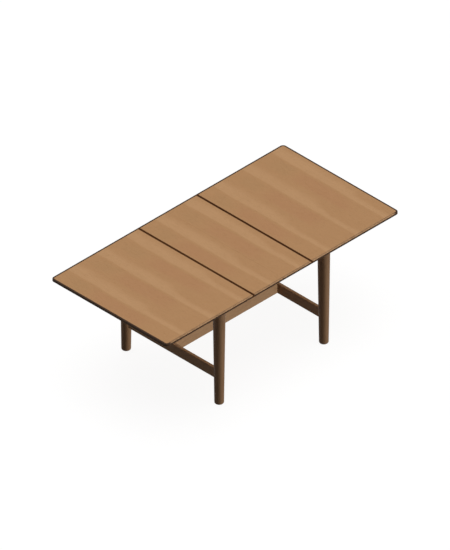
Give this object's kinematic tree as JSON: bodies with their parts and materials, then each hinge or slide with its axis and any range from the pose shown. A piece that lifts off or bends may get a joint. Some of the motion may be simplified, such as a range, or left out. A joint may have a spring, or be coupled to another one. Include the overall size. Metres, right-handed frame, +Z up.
{
  "type": "butterfly leaf table",
  "caption": "Rectangular dining table on round tapered legs with an H stretcher; end tops slide apart and a centre leaf unfolds between them.",
  "frame": {"origin": "centre of the table on the floor", "axes": "+X along the table towards the hinged side of the leaf, +Y to the back, +Z up"},
  "size_m": [2, 1, 0.755],
  "materials": {
    "top_wood": "satin oiled veneer",
    "lipping_wood": "dark stained satin",
    "leg_wood": "satin oiled",
    "stretcher_wood": "satin oiled",
    "frame_wood": "planed and waxed",
    "dowel_wood": "fluted beech",
    "nylon": "smooth",
    "zinc_steel": "zinc plated",
    "bearer_steel": "black powder coat",
    "brass": "brushed"
  },
  "bodies": {
    "base": {"leg_front_left": "leg_wood", "leg_front_right": "leg_wood", "leg_back_left": "leg_wood", "leg_back_right": "leg_wood", "end_stretcher_left": "stretcher_wood", "end_stretcher_right": "stretcher_wood", "centre_stretcher": "stretcher_wood", "cross_rail_left": "frame_wood", "cross_rail_right": "frame_wood", "guide_rail_front_left": "frame_wood", "guide_rail_front_right": "frame_wood", "guide_rail_back_left": "frame_wood", "guide_rail_back_right": "frame_wood", "foot_glides": "nylon", "leg_top_glides": "nylon", "stretcher_dowels": "dowel_wood", "cross_rail_dowels": "dowel_wood", "guide_screws": "zinc_steel", "travel_stops": "zinc_steel"},
    "left_top": {"end_top_left": "top_wood", "lipping_front_left": "lipping_wood", "lipping_back_left": "lipping_wood", "lipping_end_left": "lipping_wood", "lipping_seam_left": "lipping_wood", "runner_front_left": "frame_wood", "runner_back_left": "frame_wood", "runner_screws_left": "zinc_steel", "bearer_pivots": "zinc_steel"},
    "right_top": {"end_top_right": "top_wood", "lipping_front_right": "lipping_wood", "lipping_back_right": "lipping_wood", "lipping_end_right": "lipping_wood", "lipping_seam_right": "lipping_wood", "runner_front_right": "frame_wood", "runner_back_right": "frame_wood", "runner_screws_right": "zinc_steel", "seam_hinge_plates_top": "brass", "seam_hinge_screws_top": "brass", "seam_hinge_pins": "brass"},
    "leaf_right": {"leaf_half_right": "top_wood", "leaf_lipping_front_right": "lipping_wood", "leaf_lipping_back_right": "lipping_wood", "leaf_lipping_seam_right": "lipping_wood", "fold_barrels_right": "brass", "seam_hinge_plates_leaf": "brass", "seam_hinge_screws_leaf": "brass"},
    "leaf_left": {"leaf_half_left": "top_wood", "leaf_lipping_front_left": "lipping_wood", "leaf_lipping_back_left": "lipping_wood", "leaf_lipping_seam_left": "lipping_wood", "fold_barrels_left": "brass"},
    "bearer_front": {"leaf_bearer_front": "bearer_steel"},
    "bearer_back": {"leaf_bearer_back": "bearer_steel"}
  },
  "joints": [
    {"name": "left_top_slide", "type": "slide", "parent": "base", "child": "left_top", "axis": [1, 0, 0], "range_m": [0, 0.25]},
    {"name": "right_top_slide", "type": "slide", "parent": "base", "child": "right_top", "axis": [-1, 0, 0], "range_m": [0, 0.25]},
    {"name": "leaf_swing", "type": "hinge", "parent": "right_top", "child": "leaf_right", "pos_m": [0.25, 0, 0.7345], "axis": [0, -1, 0], "range_deg": [0, 180]},
    {"name": "leaf_fold", "type": "hinge", "parent": "leaf_right", "child": "leaf_left", "pos_m": [0, 0, 0.75575], "axis": [0, 1, 0], "range_deg": [0, 180]},
    {"name": "bearer_front_swing", "type": "hinge", "parent": "left_top", "child": "bearer_front", "pos_m": [-0.285, -0.15, 0.7351], "axis": [0, 0, 1], "range_deg": [0, 90]},
    {"name": "bearer_back_swing", "type": "hinge", "parent": "left_top", "child": "bearer_back", "pos_m": [-0.285, 0.15, 0.7351], "axis": [0, 0, -1], "range_deg": [0, 90]}
  ],
  "couplings": [
    {"joint": "right_top_slide", "follows": "left_top_slide", "ratio": 1},
    {"joint": "leaf_swing", "follows": "left_top_slide", "rad_per_m": 12.566},
    {"joint": "leaf_fold", "follows": "left_top_slide", "rad_per_m": 12.566}
  ]
}
